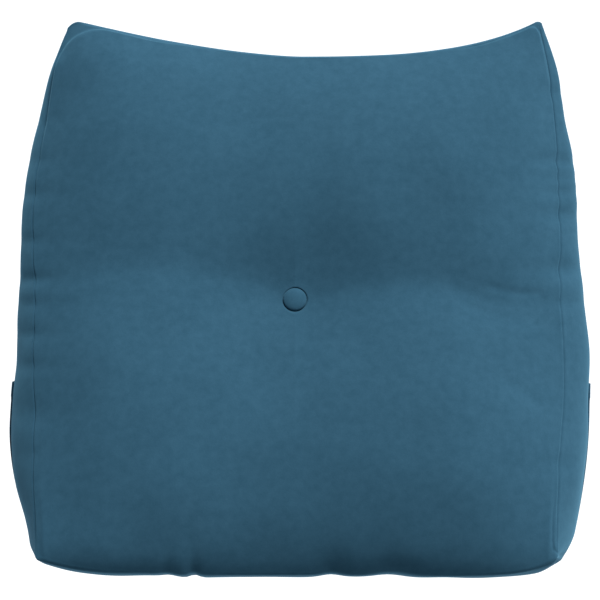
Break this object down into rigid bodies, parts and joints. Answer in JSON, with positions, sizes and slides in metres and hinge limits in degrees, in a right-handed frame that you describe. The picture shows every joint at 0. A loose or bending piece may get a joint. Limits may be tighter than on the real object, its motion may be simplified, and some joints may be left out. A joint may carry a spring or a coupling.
{
  "type": "back cushion",
  "caption": "Stuffed wedge-shaped back cushion in velvet-like cloth, button-tufted in the middle of its sloping front, with a flat patch pocket on each side panel.",
  "frame": {"origin": "middle of the outline seen from above, on the surface that the flat back lies on", "axes": "+Z out of the surface, up through the sloping front; +Y from the deep base to the thin top edge; +X to the right as seen from the front"},
  "size_m": [0.5898, 0.5697, 0.1929],
  "materials": {
    "case_cloth": "short-napped velvet-like microfibre, matt with a soft sheen at grazing angles",
    "button_cloth": "the case's cloth stretched over a button mould",
    "pocket_cloth": "the case's cloth, single patch with a turned top hem"
  },
  "bodies": {
    "root": {"cushion": "case_cloth", "button": "button_cloth", "pocket_left": "pocket_cloth", "pocket_right": "pocket_cloth"}
  },
  "joints": []
}
